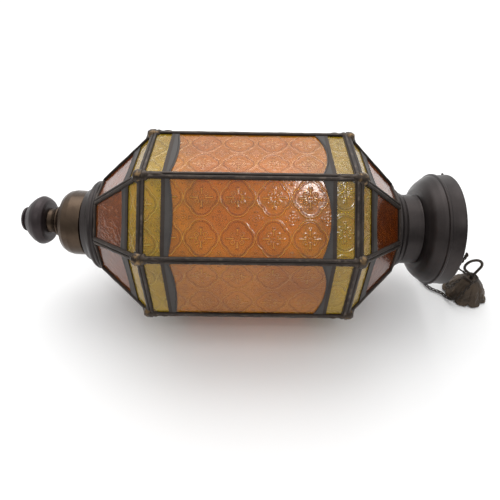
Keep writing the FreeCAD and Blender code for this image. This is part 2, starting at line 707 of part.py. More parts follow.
def centre_on_middle(shape):
    copy = shape.copy()
    copy.translate(Vector(MIDDLE_X, 0, 0))
    return copy


def lying_pieces():
    pieces = {name: [lie_down(s) for s in solids] for name, solids in shell_pieces().items()}
    for name, solids in cup_pieces().items():
        pieces[name] = [lie_down(sit_crooked(s)) for s in solids]
    pieces["bottom_collar"] = [lie_down(bottom_collar())]
    pieces["neck_collar"] = [lie_down(neck_collar())]
    pieces["neck_tube"] = [lie_down(neck_tube())]
    crown_shape = lie_down(crown())
    pieces["crown"] = [crown_shape]
    pieces["rim_eyelets"] = [rim_eyelet(name, crown_shape) for name in CHAIN_ROUTES]
    for name in CHAIN_ROUTES:
        pieces[name] = [chain(name)]
    pieces["gather_ring"] = [gather_ring()]
    pieces["leaf_cap"] = [leaf_cap()]
    pieces["eye_washer"] = [eye_washer()]
    pieces["hanging_eye"] = [hanging_eye()]
    return pieces


def main():
    os.makedirs("parts", exist_ok=True)
    for name, solids in sorted(lying_pieces().items()):
        finished = [centre_on_middle(s) for s in solids]
        shape = finished[0] if len(finished) == 1 else Part.makeCompound(finished)
        shape.exportStep("parts/%s.step" % name)


main()
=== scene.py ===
import math
import bpy
import numpy as np
from mathutils import Matrix, Vector


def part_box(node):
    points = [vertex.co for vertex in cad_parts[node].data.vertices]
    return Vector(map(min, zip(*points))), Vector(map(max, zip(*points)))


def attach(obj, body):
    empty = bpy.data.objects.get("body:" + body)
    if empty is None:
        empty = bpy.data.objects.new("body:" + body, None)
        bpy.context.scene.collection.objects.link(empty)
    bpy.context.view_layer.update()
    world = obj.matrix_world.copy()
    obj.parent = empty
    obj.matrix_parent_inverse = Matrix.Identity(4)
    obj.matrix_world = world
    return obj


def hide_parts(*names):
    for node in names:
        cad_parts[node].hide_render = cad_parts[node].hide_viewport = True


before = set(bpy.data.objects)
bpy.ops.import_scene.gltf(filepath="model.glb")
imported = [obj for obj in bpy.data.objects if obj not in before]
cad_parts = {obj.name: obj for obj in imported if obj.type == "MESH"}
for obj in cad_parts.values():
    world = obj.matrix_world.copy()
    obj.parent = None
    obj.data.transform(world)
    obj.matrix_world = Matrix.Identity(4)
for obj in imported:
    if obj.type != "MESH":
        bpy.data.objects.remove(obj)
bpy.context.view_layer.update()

# Glass candle lantern lying on one of its eight sides. Shapes are worked out in millimetres, with
# x along the lantern's axis from the middle of its body towards the crown, and are then placed in
# the frame in metres.

MM = 0.001
SIDES = 8
HALF_TURN = math.pi / SIDES
BODY_R = 115.0
BODY_LENGTH = 224.0
LOWER_TAPER = 66.0
LOWER_RING_R = 57.0
UPPER_TAPER = 60.0
UPPER_RING_R = 56.0
FOOT_X = -BODY_LENGTH / 2 - LOWER_TAPER     # plane where the lower taper ends
HEAD_X = BODY_LENGTH / 2 + UPPER_TAPER      # plane where the upper taper ends
TUBE_FREE = 31.3                # tube past the upper taper
CROWN_DEPTH = 37.2              # from the tube's end to the crown's rim
CROWN_ENTRY = 15.0              # crown inside the tube
CUP_MOUTH_X = -200.0
CUP_FOOT_X = CUP_MOUTH_X - 39.0
CUP_FLOOR_X = CUP_FOOT_X + 4.0
CUP_TILT = math.radians(3.0)
CUP_SHIFT = 2.0 / math.sqrt(2)  # of the loose cup, up and back
STUD_BORE_R = 3.05
PAN_X = CUP_FLOOR_X + 29.0 - 5.0                    # drip pan, just under the socket's rim
CANDLE_FOOT_X = CUP_FLOOR_X + 1.5 + 4.0 + 1.5 + 0.1  # on socket foot, nut and stud, with a gap
CANDLE_R = 11.2
CANDLE_LENGTH = 106.0
EYELET_R = 67.3                 # of the chains' roots, about the lantern's axis
GATHER_R = 8.0
GATHER_Z = 31.3
EYE_R = 11.0                    # bend of the eye
EYE_HEIGHT = 20.0               # from the foot of the eye to the centre of its bend
EYE_FOOT_Z = 33.6

LIP = 1.2               # glass below the outer face of the came
GLASS_T = 2.6
BAR = 4.5               # came along the long edges of a pane
LAP = 1.2               # glass under the lip
GLASS_STEP = 0.62       # grid of the embossed faces

low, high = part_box("body_frame_1")
MIDDLE_X = (low.x + high.x) / 2 / MM
AXIS_Z = low.z / MM + BODY_R * math.cos(HALF_TURN)


# ---- surfaces ----
def full_turn(count):
    """Equal steps of angle round a circle."""
    return np.linspace(0.0, 2 * math.pi, count, endpoint=False)


def unit(v):
    return v / np.linalg.norm(v)


def quads(rows, columns, wrap_rows=False, wrap_columns=False):
    """Corner numbers of the cells of a grid of points, wrapping round where asked."""
    i, j = np.meshgrid(np.arange(rows if wrap_rows else rows - 1),
                       np.arange(columns if wrap_columns else columns - 1), indexing="ij")
    i2 = (i + 1) % rows
    j2 = (j + 1) % columns
    corners = [i * columns + j, i2 * columns + j, i2 * columns + j2, i * columns + j2]
    return np.stack(corners, axis=-1).reshape(-1, 4)


def enclosed(points, faces):
    """Signed volume inside faces: the sum of the tetrahedra from the origin to each fan triangle."""
    total = 0.0
    for face in faces:
        p = points[face]
        fan = np.cross(p[..., 1:-1, :], p[..., 2:, :])
        total += float((fan * p[..., :1, :]).sum())
    return total


class Shape:
    """One piece, gathered from closed surfaces, with a value from 0 to 1 at each point: wear on
    metal, and on glass the relief height along which shade and highlights are painted.
    """

    def __init__(self):
        self.points = []
        self.corners = []
        self.sizes = []
        self.smooth = []
        self.wear_and_relief_light = []
        self.count = 0

    def add(self, points, faces, wear_and_relief_light=0.0, smooth=True):
        """Adds a closed surface. faces is a list of arrays of corner numbers, (count, corners)."""
        points = np.asarray(points, float).reshape(-1, 3)
        faces = [np.atleast_2d(f) for f in faces]
        if enclosed(points - points.mean(axis=0), faces) < 0:
            faces = [f[:, ::-1] for f in faces]
        flags = smooth if isinstance(smooth, (list, tuple)) else [smooth] * len(faces)
        for face, flag in zip(faces, flags):
            self.corners.append((face + self.count).ravel())
            self.sizes.append(np.full(len(face), face.shape[1]))
            self.smooth.append(np.full(len(face), flag))
        self.points.append(points)
        self.wear_and_relief_light.append(np.broadcast_to(np.asarray(wear_and_relief_light, float).ravel(), len(points)))
        self.count += len(points)

    def piece(self, name, material, body, slot, replaces=()):
        """Makes the mesh, in metres, and says what it rides on and which nodes it stands for."""
        points = np.concatenate(self.points) * MM
        corners = np.concatenate(self.corners).astype(np.int32)
        sizes = np.concatenate(self.sizes)
        mesh = bpy.data.meshes.new(name)
        mesh.vertices.add(len(points))
        mesh.vertices.foreach_set("co", points.astype(np.float32).ravel())
        mesh.loops.add(len(corners))
        mesh.loops.foreach_set("vertex_index", corners)
        mesh.polygons.add(len(sizes))
        starts = np.concatenate([[0], np.cumsum(sizes)[:-1]]).astype(np.int32)
        mesh.polygons.foreach_set("loop_start", starts)
        mesh.polygons.foreach_set("use_smooth", np.concatenate(self.smooth))
        mesh.update(calc_edges=True)
        wear_and_relief_light = mesh.attributes.new("wear_and_relief_light", "FLOAT", "POINT")
        wear_and_relief_light.data.foreach_set("value", np.concatenate(self.wear_and_relief_light).astype(np.float32))
        mesh.materials.append(material)
        obj = bpy.data.objects.new(name, mesh)
        bpy.context.scene.collection.objects.link(obj)
        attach(obj, body)
        if replaces:
            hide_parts(*replaces)
        return obj


def on_axis(x, y, z):
    """Points given from the middle of the body, with the lantern's axis as x, in the frame."""
    return np.stack(np.broadcast_arrays(x + MIDDLE_X, y, z + AXIS_Z), axis=-1)


def lantern_axis(x, r, turn):
    """Turned point: x along the axis, r from it, turn round it from the top towards the back."""
    return on_axis(x, r * np.sin(turn), r * np.cos(turn))


def cup_axis(x, r, turn):
    """Turned point of the crooked cup, whose axis tips about the middle of the cup's mouth."""
    c, s = math.cos(CUP_TILT), math.sin(CUP_TILT) / math.sqrt(2)
    along = np.array([c, -s, -s])
    side = np.array([0.0, 1.0, -1.0]) / math.sqrt(2)
    over = np.cross(along, side)
    turned = turn + math.pi / 4
    away = x - CUP_MOUTH_X
    p = (away[..., None] * along + (r * np.cos(turned))[..., None] * over
         + (r * np.sin(turned))[..., None] * side)
    return on_axis(p[..., 0] + CUP_MOUTH_X, p[..., 1] + CUP_SHIFT, p[..., 2] + CUP_SHIFT)


def filleted(corners, steps=5):
    """Profile through corners (x, r, fillet): each corner becomes an arc tangent to both runs."""
    line = []
    count = len(corners)
    for k in range(count):
        x, r, fillet = corners[k]
        here = np.array([x, r])
        before = np.array(corners[k - 1][:2]) - here
        after = np.array(corners[(k + 1) % count][:2]) - here
        a = unit(before)
        b = unit(after)
        half = math.acos(max(-1.0, min(1.0, float(a @ b)))) / 2
        if fillet <= 0 or half > 1.55:
            line.append(here[None])
            continue
        reach = min(fillet / math.tan(half), 0.48 * np.linalg.norm(before),
                    0.48 * np.linalg.norm(after))
        radius = reach * math.tan(half)
        middle = here + unit(a + b) * math.hypot(radius, reach)
        start = here + a * reach - middle
        end = here + b * reach - middle
        t = np.linspace(0.0, 1.0, steps)[:, None]
        sweep = math.acos(max(-1.0, min(1.0, float(start @ end) / radius ** 2)))
        arc = (np.sin((1 - t) * sweep) * start + np.sin(t * sweep) * end) / math.sin(sweep)
        line.append(middle + arc)
    return np.concatenate(line)


def lathe(name, node, material, body, slot, corners, axis=lantern_axis, segments=160, steps=5):
    """Turned piece that stands for a node: a closed profile carried round the axis in equal turns.
    A profile that starts and ends on the axis is left open there, with a small flat cap each end."""
    profile = filleted(corners, steps)
    turn = full_turn(segments)
    solid = min(c[1] for c in corners) <= 0.0
    if solid:
        profile[:, 1] = np.maximum(profile[:, 1], 0.02)
    x = np.repeat(profile[:, :1], segments, axis=1)
    r = np.repeat(profile[:, 1:], segments, axis=1)
    points = axis(x, r, turn[None, :])
    rows = len(profile)
    faces = [quads(rows, segments, wrap_rows=not solid, wrap_columns=True)]
    if solid:
        faces.append(np.arange(segments)[None])
        faces.append((rows - 1) * segments + np.arange(segments)[::-1][None])
    shape = Shape()
    shape.add(points, faces)
    shape.piece(name, material, body, slot, [node])


def rod(shape, path, radius, reference, facets=12, wear_and_relief_light=0.0, closed=False):
    """Tube: circles of the given radius square to a path of points, capped unless it is closed.
    Each circle's frame comes from the path's tangent and the reference direction."""
    path = np.asarray(path, float)
    if closed:
        tangent = np.roll(path, -1, axis=0) - np.roll(path, 1, axis=0)
    else:
        tangent = np.gradient(path, axis=0)
    tangent /= np.linalg.norm(tangent, axis=1, keepdims=True)
    side = np.cross(tangent, reference)
    side /= np.linalg.norm(side, axis=1, keepdims=True)
    over = np.cross(side, tangent)
    turn = full_turn(facets)
    r = np.broadcast_to(np.asarray(radius, float), len(path))[:, None, None]
    points = (path[:, None] + r * np.cos(turn)[None, :, None] * side[:, None]
              + r * np.sin(turn)[None, :, None] * over[:, None])
    faces = [quads(len(path), facets, wrap_rows=closed, wrap_columns=True)]
    if not closed:
        faces.append(np.arange(facets)[None])
        faces.append((len(path) - 1) * facets + np.arange(facets)[::-1][None])
    shape.add(points, faces, wear_and_relief_light)


class Stage:
    """The eight flat sides between two octagons. u runs across a side, v along its slope from the
    first octagon, and h out of its face."""

    def __init__(self, x0, r0, x1, r1):
        a0, a1 = r0 * math.cos(HALF_TURN), r1 * math.cos(HALF_TURN)
        self.start = (x0, a0)
        self.length = math.hypot(x1 - x0, a1 - a0)
        self.up = ((x1 - x0) / self.length, (a1 - a0) / self.length)
        self.out = (-self.up[1], self.up[0]) if x1 > x0 else (self.up[1], -self.up[0])
        self.halves = (r0 * math.sin(HALF_TURN), r1 * math.sin(HALF_TURN))
        self.lean = math.atan2(self.halves[0] - self.halves[1], self.length)

    def half(self, v):
        return self.halves[0] + (self.halves[1] - self.halves[0]) * np.asarray(v) / self.length

    def at(self, side, u, v, h):
        """Points of a side in the frame: the middle of its first edge plus u, v and h."""
        turn = 2 * HALF_TURN * side
        u, v, h = np.broadcast_arrays(u, v, h)
        x = self.start[0] + self.up[0] * v + self.out[0] * h
        r = self.start[1] + self.up[1] * v + self.out[1] * h
        return on_axis(x, r * math.sin(turn) + u * math.cos(turn),
                       -r * math.cos(turn) + u * math.sin(turn))


BODY = Stage(-BODY_LENGTH / 2, BODY_R, BODY_LENGTH / 2, BODY_R)
LOWER = Stage(-BODY_LENGTH / 2, BODY_R, FOOT_X, LOWER_RING_R)
UPPER = Stage(BODY_LENGTH / 2, BODY_R, HEAD_X, UPPER_RING_R)
LOWER_YELLOW = (3.8, 21.0)
AMBER = (25.0, 196.0)
UPPER_YELLOW = (200.0, 218.2)
TAPER_YELLOW = (6.0, 21.0)
LOWER_RED = (25.0, LOWER.length - 4.5)
UPPER_RED = (25.0, UPPER.length - 4.5)


# ---- pressed patterns ----
def ridge(distance, width):
    """Rounded ridge: a bell curve of the distance from its line."""
    return np.exp(-(distance / width) ** 2)


def swirl(u, v, seed, waves=9, wavelength=9.0):
    """Smooth uneven field: waves of mixed headings and lengths, each bent by the one before it."""
    draw = np.random.default_rng(seed)
    total = np.zeros(np.broadcast(u, v).shape)
    bend = 0.0
    for _ in range(waves):
        heading = draw.uniform(0, 2 * math.pi)
        scale = 2 * math.pi / (wavelength * draw.uniform(0.45, 1.6))
        wave = np.sin(scale * (u * math.cos(heading) + v * math.sin(heading))
                      + draw.uniform(0, 2 * math.pi) + 1.6 * bend)
        bend = wave
        total += wave
    return total / waves


MEDALLION_PITCH = 37.0      # along the lantern
MEDALLION_ROWS = 41.6       # across a side
LOBE_OFF = 6.3              # of a lobe's centre from the medallion's
LOBE_R = 12.2


def medallions(u, v, seed):
    """Height of the pressed flower pattern, 0 to 1, on a rectangular repeat. Each medallion is a
    double ridge along the outline of four overlapping circles, around a flower of four petals,
    four curls and dots. The diamonds between medallions hold a ring of dots about a boss."""
    cu = np.mod(u, MEDALLION_ROWS) - MEDALLION_ROWS / 2
    cv = np.mod(v, MEDALLION_PITCH) - MEDALLION_PITCH / 2
    au, av = np.abs(cu), np.abs(cv)
    outline = np.minimum(np.hypot(au - LOBE_OFF - 0.8, av), np.hypot(au, av - LOBE_OFF + 0.6))
    outline = outline - LOBE_R
    height = ridge(outline, 0.62) + 0.55 * ridge(outline + 2.1, 0.5)
    petal_v = np.hypot(np.maximum(np.abs(av - 7.6) - 3.6, 0.0), au * 1.15)
    petal_u = np.hypot(np.maximum(np.abs(au - 6.3) - 2.6, 0.0), av * 1.25)
    height += 0.95 * ridge(petal_v, 1.1) + 0.95 * ridge(petal_u, 1.05)
    curls = np.abs(np.hypot(au - 3.9, av - 4.6) - 2.0)
    height += 0.85 * ridge(curls, 0.75) * (np.hypot(au, av) > 3.2)
    height += 0.9 * ridge(np.hypot(au, av), 0.95)
    flare = np.hypot(np.abs(au - 10.2) - 0.9, av - 1.1)
    height += 0.7 * ridge(flare, 0.75)
    du = MEDALLION_ROWS / 2 - au
    dv = MEDALLION_PITCH / 2 - av
    away = np.hypot(du, dv)
    turn = np.arctan2(dv, du)
    boss = ridge(away, 1.2) * 0.8
    ring = ridge(away - 3.7, 0.6) * (0.5 + 0.5 * np.cos(8 * turn))
    sprays = ridge(np.hypot(away - 6.6, 1.5 * np.sin(2 * turn)), 0.8)
    between = np.clip(outline / 1.5, 0.0, 1.0)
    height += between * (boss + 0.9 * ring + 0.8 * sprays)
    height += 0.16 * swirl(u, v, seed, wavelength=16.0) + 0.10 * swirl(u, v, seed + 1, wavelength=5.0)
    return height


def hammered(u, v, seed):
    """Height of the red glass: bent swirls, sharpened into narrow ridges, with small seeds."""
    broad = swirl(u, v, seed, waves=7, wavelength=15.0)
    fine = swirl(u, v, seed + 5, waves=9, wavelength=6.0)
    return 0.34 * ridge(broad, 0.22) + 0.20 * ridge(fine, 0.25) + 0.30 * broad


def glass_pane(shape, stage, side, window, pattern, seed, shift=(0.0, 0.0), relief=0.22):
    """Closed pane. Its face is a grid over the window and lap, raised by the pattern, which fades
    out under the came; its back and edges are flat. Points go straight from the (u, v) grid."""
    v0, v1 = window[0] - LAP, window[1] + LAP
    inset = (BAR - LAP) / math.cos(stage.lean)
    rows = max(8, int((v1 - v0) / GLASS_STEP))
    columns = int(2 * (float(stage.half(v0)) - inset) / GLASS_STEP)
    v = np.linspace(v0, v1, rows)[:, None]
    s = np.linspace(-1.0, 1.0, columns)[None, :]
    wide = stage.half(v) - inset
    u = s * wide
    along = np.broadcast_to(v, u.shape)
    height = pattern(u + shift[0], along + shift[1], seed)
    edge = np.minimum(np.minimum(along - v0, v1 - along), wide - np.abs(u))
    fade = np.clip((edge - 0.6) / 1.2, 0.0, 1.0)
    h = -LIP - 0.12 + relief * height * fade
    front = stage.at(side, u, along, h)
    ring = np.concatenate([np.arange(columns), np.arange(1, rows) * columns + columns - 1,
                           (rows - 1) * columns + np.arange(columns - 1)[::-1],
                           np.arange(1, rows - 1)[::-1] * columns])
    back = stage.at(side, u.ravel()[ring], along.ravel()[ring], -LIP - GLASS_T)
    count = rows * columns
    around = np.arange(len(ring))
    following = (around + 1) % len(ring)
    walls = np.stack([ring, ring[following], count + following, count + around], axis=-1)
    faces = [quads(rows, columns), walls, (count + around)[None]]
    points = np.concatenate([front.reshape(-1, 3), back])
    # The pattern's height is kept as each point's value, for painted shadow along the feet of the
    # raised lines and a painted highlight on their tops.
    wear_and_relief_light = np.concatenate([np.clip(height * fade, 0.0, 1.0).ravel(), np.zeros(len(ring))])
    shape.add(points, faces, wear_and_relief_light, smooth=[True, False, False])


# ---- came, beads and claws ----
BAR_FACETS = 14
DOME_FACETS = 6
CLAW_FACETS = 20
CLAW_TAIL = 24.0            # along the body's edge, from the corner
CLAW_NOSE = 17.0            # down the hip
def soldered_bar(shape, stage, side, start, end, width=3.9, rise=1.5, seed=0):
    """Half-round came bar from (u, v) to (u, v). Its section is half an ellipse above the face and
    a shallow one below it, and its height wavers a little along its length, as hand work does."""
    start, end = np.array(start, float), np.array(end, float)
    length = float(np.linalg.norm(end - start))
    steps = max(6, int(length / 2.5))
    t = np.linspace(0.0, 1.0, steps)
    turn = full_turn(BAR_FACETS)
    across = np.array([-(end - start)[1], (end - start)[0]]) / length
    waver = 1 + 0.06 * np.sin(t * length / 3.1 + seed) + 0.05 * np.sin(t * length / 7.7 + 2 * seed)
    taper = np.clip(np.minimum(t, 1 - t) * length / 1.2, 0.25, 1.0) ** 0.5
    half = width / 2 * np.cos(turn)[None, :] * (taper * (1 + 0.4 * (waver - 1)))[:, None]
    high = np.where(np.sin(turn) > 0, rise * np.sin(turn), 0.8 * np.sin(turn))
    h = high[None, :] * (taper * waver)[:, None]
    line = start[None] + (end - start)[None] * t[:, None]
    u = line[:, :1] + across[0] * half
    v = line[:, 1:] + across[1] * half
    points = stage.at(side, u, v, h)
    end_cap = np.arange(BAR_FACETS)
    faces = [quads(steps, BAR_FACETS, wrap_columns=True), end_cap[None],
             (steps - 1) * BAR_FACETS + end_cap[::-1][None]]
    rubbed = np.clip(h / rise - 0.55, 0.0, 1.0) * 1.6
    shape.add(points, faces, np.clip(rubbed, 0.0, 0.8))


def came_bars(shape, stage, side, crossings):
    """Bars down both long edges of a side and across it at each given v."""
    inset = 2.2 / math.cos(stage.lean)
    for sign in (-1, 1):
        ends = [(sign * (float(stage.half(v)) - inset), v) for v in (0.8, stage.length - 0.8)]
        soldered_bar(shape, stage, side, ends[0], ends[1], seed=side + sign)
    for v, width in crossings:
        reach = float(stage.half(v)) - 3.0
        soldered_bar(shape, stage, side, (-reach, v), (reach, v), width, 0.36 * width, side + v)


def bead_row(shape, stage, side, curve, count, radius=0.6):
    """Row of small domes on a curve v(u) across a side: rings of six round a pole, each ring
    lower and wider on a half ball."""
    u, v = curve(np.linspace(-0.93, 0.93, count))
    rings = np.array([0.0, 0.5, 0.85, 1.0])
    heights = np.sqrt(1 - rings ** 2)
    turn = full_turn(DOME_FACETS)
    du = radius * rings[1:, None] * np.cos(turn)
    dv = radius * rings[1:, None] * np.sin(turn)
    dome_u = np.concatenate([[0.0], du.ravel()])
    dome_v = np.concatenate([[0.0], dv.ravel()])
    dome_h = radius * np.concatenate([[1.0], np.repeat(heights[1:], DOME_FACETS)]) - 0.22
    body = quads(3, DOME_FACETS, wrap_columns=True) + 1
    round_tip = np.arange(DOME_FACETS)
    tip = np.stack([np.zeros(DOME_FACETS, int), 1 + round_tip,
                    1 + (round_tip + 1) % DOME_FACETS], axis=-1)
    foot = 1 + 2 * DOME_FACETS + round_tip[::-1][None]
    points = stage.at(side, u[:, None] + dome_u, v[:, None] + dome_v, dome_h[None, :])
    for one in points:
        shape.add(one, [body, tip, foot], 0.5)


def bowed(stage, v_edge, side_height, middle_height, inside):
    """Curve across a side a little inside the bowed edge of a trim: the arc through both ends and
    the middle, moved back from the edge."""
    half = float(stage.half(v_edge)) - BAR
    sag = middle_height - side_height

    def curve(s):
        return s * half, v_edge + side_height + sag * (1 - s ** 2) - inside

    return curve


def claw(shape, body_sign, side):
    """Cast claw on a corner: a tube along the body's edge, round the corner and down the hip. Its
    radius swells from a fine tail through a waist to the ball, and falls to a short nose."""
    taper_x, ring_r = (FOOT_X, LOWER_RING_R) if body_sign < 0 else (HEAD_X, UPPER_RING_R)
    turn = 2 * HALF_TURN * side + HALF_TURN
    corner = np.array([body_sign * BODY_LENGTH / 2, BODY_R])
    hip = unit(np.array([taper_x, ring_r]) - corner)
    tail = np.array([-body_sign, 0.0])
    s = np.linspace(-CLAW_TAIL, CLAW_NOSE, 60)
    along_tail = np.clip(-s, 0.0, None)
    along_nose = np.clip(s, 0.0, None)
    bend = 5.0
    blend = 0.5 * (np.sqrt(s ** 2 + bend ** 2) - np.abs(s))
    plane = (corner[None] + tail[None] * (along_tail + blend)[:, None]
             + hip[None] * (along_nose + blend)[:, None])
    ball = np.exp(-((s - 1.0) / 8.0) ** 4)
    swell = np.exp(-((s + 15.0) / 6.0) ** 2)
    nose = np.exp(-((s - 9.5) / 5.5) ** 2)
    radius = 0.9 + 6.1 * ball + 1.6 * swell + 1.9 * nose
    radius *= (np.clip((s + CLAW_TAIL + 0.5) / 5.0, 0.0, 1.0) ** 0.5
               * np.clip((CLAW_NOSE + 0.4 - s) / 5.0, 0.0, 1.0) ** 0.5)
    clear = (AXIS_Z - 0.1 - 1.02 * radius) / math.cos(HALF_TURN)
    r = np.minimum(plane[:, 1] - 0.4 - 1.2 * ball, clear)
    path = on_axis(plane[:, 0], r * math.sin(turn), -r * math.cos(turn))
    rod(shape, path, radius * (1 + 0.02 * np.sin(s * 2.4)), facets=CLAW_FACETS,
        wear_and_relief_light=np.repeat(np.clip(0.9 * ball + 0.3 * nose - 0.15, 0, 1), CLAW_FACETS),
        reference=np.array([0.0, math.cos(turn), math.sin(turn)]))


# ---- chains, leaf cap and eye ----
def spline_points(name, points, samples=260):
    """Points along the smooth line of an order-3 spline with these control points, in mm."""
    curve = bpy.data.curves.new(name, "CURVE")
    curve.dimensions = "3D"
    curve.resolution_u = 24
    spline = curve.splines.new("NURBS")
    spline.points.add(len(points) - 1)
    for point, place in zip(spline.points, points):
        point.co = (place[0] * MM, place[1] * MM, place[2] * MM, 1.0)
    spline.order_u = 3
    spline.use_endpoint_u = True
    holder = bpy.data.objects.new(name, curve)
    mesh = bpy.data.meshes.new_from_object(holder)
    line = np.array([v.co for v in mesh.vertices], float) / MM
    bpy.data.meshes.remove(mesh)
    bpy.data.objects.remove(holder)
    bpy.data.curves.remove(curve)
    steps = np.linalg.norm(np.diff(line, axis=0), axis=1)
    at = np.concatenate([[0.0], np.cumsum(steps)])
    even = np.linspace(0.0, at[-1], samples)
    return np.stack([np.interp(even, at, line[:, k]) for k in range(3)], axis=1)


def link(shape, centre, along, side, length, width, wire, facets=8, turns=28):
    """Chain link: a round wire along an oval of two half circles and two straight runs."""
    over = np.cross(along, side)
    t = full_turn(turns)
    bend = width / 2 - wire
    straight = length / 2 - width / 2
    x = bend * np.cos(t) + np.clip(np.cos(t) * 3.0, -1.0, 1.0) * straight
    y = bend * np.sin(t)
    path = centre + x[:, None] * along + y[:, None] * side
    rod(shape, path, wire, facets=facets, closed=True, reference=over, wear_and_relief_light=0.15)


def links_along(shape, path, length=7.2, width=4.9, wire=0.88):
    """Links end in end along a line, each a quarter turn from the last about the line."""
    steps = np.linalg.norm(np.diff(path, axis=0), axis=1)
    at = np.concatenate([[0.0], np.cumsum(steps)])
    pitch = length - 2.2 * wire
    count = int(round((at[-1] - length) / pitch)) + 1
    places = np.linspace(length / 2, at[-1] - length / 2, count)
    side = np.array([0.0, 1.0, 0.3])
    for k, place in enumerate(places):
        near = [np.array([np.interp(place + d, at, path[:, c]) for c in range(3)])
                for d in (-length / 2, 0.0, length / 2)]
        along = unit(near[2] - near[0])
        side = unit(side - along * float(side @ along))
        turned = side if k % 2 == 0 else np.cross(along, side)
        centre = (near[0] + near[2]) / 2
        link(shape, centre, along, turned, length, width, wire)


def leaf_cap_surface(shape, centre):
    """Cast cap: a grid of t from its top to its rim and round its axis. The radius follows a bell,
    ribs and petals grow with t as cosines of nine times the angle, veins run between them, and a
    second sheet inside it, closed at the rim and the bore, gives it its wall."""
    turn = full_turn(252)[None, :]
    t = np.linspace(0.0, 1.0, 46)[:, None]
    bell_t = [0.0, 0.12, 0.3, 0.5, 0.7, 0.85, 0.95, 1.0]
    bell_r = [2.1, 8.4, 12.8, 17.8, 22.0, 24.8, 27.6, 28.8]
    bell_z = [29.4, 29.2, 26.2, 20.4, 12.6, 6.6, 2.7, 1.5]
    r = np.interp(t, bell_t, bell_r)
    z = np.interp(t, bell_t, bell_z)
    leaf = np.cos(9 * turn)
    grow = np.clip((t - 0.15) / 0.85, 0.0, 1.0)
    vein = ridge(np.sin(4.5 * turn), 0.16)
    side_veins = np.sin(9 * turn) * np.sin(34 * t + 6 * np.abs(np.sin(4.5 * turn)))
    valley = ridge(np.cos(4.5 * turn), 0.22)
    outer_r = r + grow * (0.9 * leaf + 0.7 * vein - 1.9 * valley) + 0.25 * grow * side_veins
    lumps = grow * (1.0 * np.sin(5 * turn + 9 * t) * np.sin(17 * t + 2 * turn)
                    + 0.6 * np.sin(13 * turn - 21 * t) * np.sin(31 * t + 4 * turn))
    outer_r = np.minimum(outer_r + lumps, 29.6)
    rim = np.clip((t - 0.72) / 0.28, 0.0, 1.0) ** 2
    outer_z = z + rim * (2.6 * valley + 0.5 * (1 - leaf) / 2)
    inner_r = np.maximum(np.minimum(outer_r - 1.5, r - 1.3), 2.1)
    inner_z = np.maximum(outer_z - 1.4 * (1 - t), 0.05)
    outer_z = np.maximum(outer_z, 0.9)
    inner_z = np.where(t > 0.9, np.minimum(inner_z, outer_z - 0.7), inner_z)
    inner_z = np.maximum(inner_z, 0.05)
    rr = np.concatenate([outer_r, inner_r[::-1]], axis=0)
    zz = np.concatenate([outer_z, inner_z[::-1]], axis=0)
    points = np.stack([centre[0] + rr * np.cos(turn), centre[1] + rr * np.sin(turn),
                       np.broadcast_to(zz, rr.shape)], axis=-1)
    wear_and_relief_light = np.concatenate([np.clip(grow * (0.5 * vein + 0.4 * leaf) - valley, 0, 1),
                           np.zeros_like(inner_r)], axis=0)
    shape.add(points, [quads(len(rr), turn.size, wrap_rows=True, wrap_columns=True)], wear_and_relief_light)


# ---- finishes ----
class Finish:
    """A material's nodes, with short calls for the ones used often."""

    def __init__(self, name, metallic=0.0, roughness=0.5, **constants):
        self.material = bpy.data.materials.new(name)
        self.material.use_nodes = True
        self.tree = self.material.node_tree
        self.shader = self.tree.nodes["Principled BSDF"]
        self.shader.inputs["Metallic"].default_value = metallic
        self.shader.inputs["Roughness"].default_value = roughness
        for socket, value in constants.items():
            self.shader.inputs[socket.replace("_", " ")].default_value = value
        self.place = self.tree.nodes.new("ShaderNodeTexCoord").outputs["Object"]

    def node(self, kind, inputs=(), **settings):
        node = self.tree.nodes.new(kind)
        for key, value in settings.items():
            setattr(node, key, value)
        for key, value in dict(inputs).items():
            if isinstance(value, bpy.types.NodeSocket):
                self.tree.links.new(value, node.inputs[key])
            else:
                node.inputs[key].default_value = value
        return node

    def stretched(self, scale, turn=(0.0, 0.0, 0.0)):
        inputs = {"Vector": self.place, "Scale": scale, "Rotation": turn}
        return self.node("ShaderNodeMapping", inputs).outputs["Vector"]

    def noise(self, scale, detail=4.0, rough=0.55, vector=None, distortion=0.0):
        inputs = {"Vector": vector or self.place, "Scale": scale, "Detail": detail,
                  "Roughness": rough, "Distortion": distortion}
        return self.node("ShaderNodeTexNoise", inputs).outputs["Fac"]

    def ramp(self, value, *stops):
        node = self.node("ShaderNodeValToRGB", {"Fac": value})
        elements = node.color_ramp.elements
        while len(elements) < len(stops):
            elements.new(0.5)
        for element, (place, colour) in zip(elements, stops):
            element.position = place
            element.color = (*colour, 1.0)
        return node.outputs["Color"]

    def grey(self, value, *stops):
        return self.ramp(value, *[(p, (g, g, g)) for p, g in stops])

    def blend(self, factor, a, b):
        node = self.node("ShaderNodeMix", {0: factor}, data_type="RGBA")
        for socket, value in ((node.inputs[6], a), (node.inputs[7], b)):
            if isinstance(value, bpy.types.NodeSocket):
                self.tree.links.new(value, socket)
            else:
                socket.default_value = (*value, 1.0)
        return node.outputs[2]

    def wear_and_relief_light(self):
        return self.node("ShaderNodeAttribute", attribute_name="wear_and_relief_light").outputs["Fac"]

    def combine(self, a, b, operation="ADD"):
        return self.node("ShaderNodeMath", {0: a, 1: b}, operation=operation).outputs[0]

    def bump(self, height, strength, distance=0.001):
        node = self.node("ShaderNodeBump", {"Height": height, "Strength": strength,
                                            "Distance": distance})
        self.tree.links.new(node.outputs["Normal"], self.shader.inputs["Normal"])

    def finish(self, colour, roughness=None):
        self.tree.links.new(colour, self.shader.inputs["Base Color"])
        if roughness is not None:
            self.tree.links.new(roughness, self.shader.inputs["Roughness"])
        return self.material


